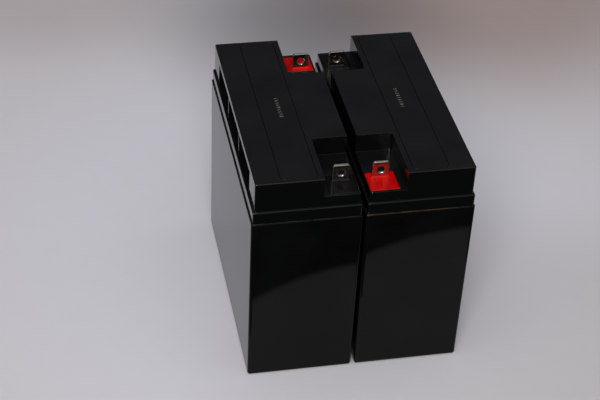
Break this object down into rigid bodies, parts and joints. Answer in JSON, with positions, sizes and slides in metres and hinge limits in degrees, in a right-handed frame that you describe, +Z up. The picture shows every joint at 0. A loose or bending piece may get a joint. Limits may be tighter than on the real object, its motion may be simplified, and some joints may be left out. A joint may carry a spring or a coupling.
{
  "type": "ups battery cartridge",
  "caption": "Pair of sealed lead-acid batteries side by side, with blade terminals in stepped pockets, finger-grip recesses and a flush vent cover on each lid.",
  "frame": {"origin": "on the ground, midway between the two batteries and halfway along them", "axes": "+Z up, +Y along the long sides, +X across the pair; the front end with the left black and right red terminal is at -Y"},
  "size_m": [0.1538, 0.181, 0.167],
  "materials": {
    "case": "polished mould surface, black",
    "lid": "fine satin on top, glossier sides, black",
    "vent_cover": "fine satin, black",
    "adhesive": "cured resin, dark brown",
    "valve_rubber": "matt moulded rubber",
    "glass_mat": "compressed glass fibre, white",
    "lead": "dull cast lead",
    "tinned_strip": "tin-plated brass strip, slightly dulled",
    "red_resin": "poured resin, glossy red",
    "black_resin": "poured resin, glossy black"
  },
  "bodies": {
    "root": {"left_cell_1_separators": "glass_mat", "left_cell_2_separators": "glass_mat", "left_cell_3_separators": "glass_mat", "left_cell_4_separators": "glass_mat", "left_cell_5_separators": "glass_mat", "left_cell_6_separators": "glass_mat", "left_container": "case", "left_lid": "lid", "left_negative_end_plates": "lead", "left_negative_terminal": "tinned_strip", "left_negative_terminal_seal": "black_resin", "left_plate_link_1_2": "lead", "left_plate_link_2_3": "lead", "left_plate_link_3_4": "lead", "left_plate_link_4_5": "lead", "left_plate_link_5_6": "lead", "left_positive_end_plates": "lead", "left_positive_terminal": "tinned_strip", "left_positive_terminal_seal": "red_resin", "left_seam_adhesive": "adhesive", "left_vent_cover": "vent_cover", "left_vent_valves": "valve_rubber", "right_cell_1_separators": "glass_mat", "right_cell_2_separators": "glass_mat", "right_cell_3_separators": "glass_mat", "right_cell_4_separators": "glass_mat", "right_cell_5_separators": "glass_mat", "right_cell_6_separators": "glass_mat", "right_container": "case", "right_lid": "lid", "right_negative_end_plates": "lead", "right_negative_terminal": "tinned_strip", "right_negative_terminal_seal": "black_resin", "right_plate_link_1_2": "lead", "right_plate_link_2_3": "lead", "right_plate_link_3_4": "lead", "right_plate_link_4_5": "lead", "right_plate_link_5_6": "lead", "right_positive_end_plates": "lead", "right_positive_terminal": "tinned_strip", "right_positive_terminal_seal": "red_resin", "right_seam_adhesive": "adhesive", "right_vent_cover": "vent_cover", "right_vent_valves": "valve_rubber"}
  },
  "joints": []
}
